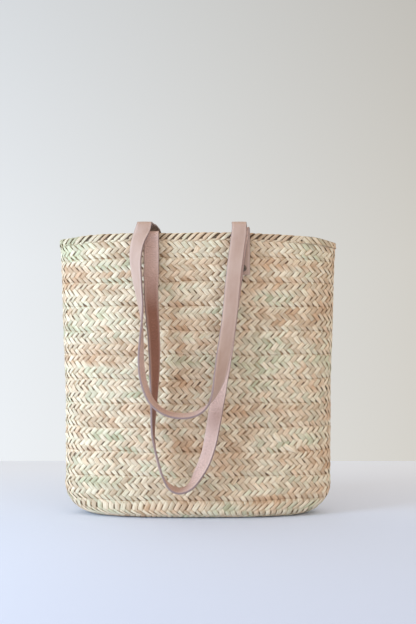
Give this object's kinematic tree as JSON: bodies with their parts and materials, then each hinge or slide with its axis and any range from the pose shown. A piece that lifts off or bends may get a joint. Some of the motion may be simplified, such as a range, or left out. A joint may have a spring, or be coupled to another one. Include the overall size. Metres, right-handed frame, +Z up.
{
  "type": "market basket",
  "caption": "Tall flat-bottomed shopping basket of plaited palm leaf with two flat leather strap handles that hang forward over the rim",
  "frame": {"origin": "middle of the underside of the base, on the floor", "axes": "+Z up, -Y towards the front, where both handles hang, +X to the right seen from the front"},
  "size_m": [0.4031, 0.1742, 0.4172],
  "materials": {
    "palm_plait": "dry natural plaited palm leaf",
    "rim_palm": "dry natural palm leaf strips",
    "palm_cord": "twisted palm leaf cord",
    "leather": "matte dusty pink vegetable tanned leather",
    "rivet_metal": "dark nickel"
  },
  "bodies": {
    "basket": {"back_handle_tab_left": "leather", "back_handle_tab_right": "leather", "back_rivet_left": "rivet_metal", "back_rivet_right": "rivet_metal", "back_washer_left": "rivet_metal", "back_washer_right": "rivet_metal", "base_start_plait": "palm_plait", "base_turn_plait": "palm_plait", "front_handle_tab_left": "leather", "front_handle_tab_right": "leather", "front_rivet_left": "rivet_metal", "front_rivet_right": "rivet_metal", "front_washer_left": "rivet_metal", "front_washer_right": "rivet_metal", "heel_plait": "palm_plait", "rim_binding": "rim_palm", "seam_cord_00": "palm_cord", "seam_cord_01": "palm_cord", "seam_cord_02": "palm_cord", "seam_cord_03": "palm_cord", "seam_cord_04": "palm_cord", "seam_cord_05": "palm_cord", "seam_cord_06": "palm_cord", "seam_cord_07": "palm_cord", "seam_cord_08": "palm_cord", "seam_cord_09": "palm_cord", "seam_cord_10": "palm_cord", "seam_cord_base_1": "palm_cord", "seam_cord_base_2": "palm_cord", "wall_plait_01": "palm_plait", "wall_plait_02": "palm_plait", "wall_plait_03": "palm_plait", "wall_plait_04": "palm_plait", "wall_plait_05": "palm_plait", "wall_plait_06": "palm_plait", "wall_plait_07": "palm_plait", "wall_plait_08": "palm_plait", "wall_plait_09": "palm_plait", "wall_plait_10": "palm_plait", "wall_plait_11": "palm_plait"},
    "front_loop": {"front_handle_loop": "leather"},
    "back_bridge": {"back_handle_bridge_left": "leather", "back_handle_bridge_right": "leather"},
    "back_loop": {"back_handle_loop": "leather"}
  },
  "joints": [
    {"name": "front_handle_swing", "type": "hinge", "parent": "basket", "child": "front_loop", "pos_m": [0, -0.06073, 0.406], "axis": [-1, 0, 0], "range_deg": [0, 180]},
    {"name": "back_bridge_lift", "type": "hinge", "parent": "basket", "child": "back_bridge", "pos_m": [0, 0.06073, 0.406], "axis": [-1, 0, 0], "range_deg": [0, 90]},
    {"name": "back_loop_swing", "type": "hinge", "parent": "back_bridge", "child": "back_loop", "pos_m": [0, -0.06853, 0.4125], "axis": [-1, 0, 0], "range_deg": [0, 90]}
  ],
  "couplings": [
    {"joint": "back_bridge_lift", "follows": "front_handle_swing", "ratio": 0.5},
    {"joint": "back_loop_swing", "follows": "front_handle_swing", "ratio": 0.5}
  ]
}
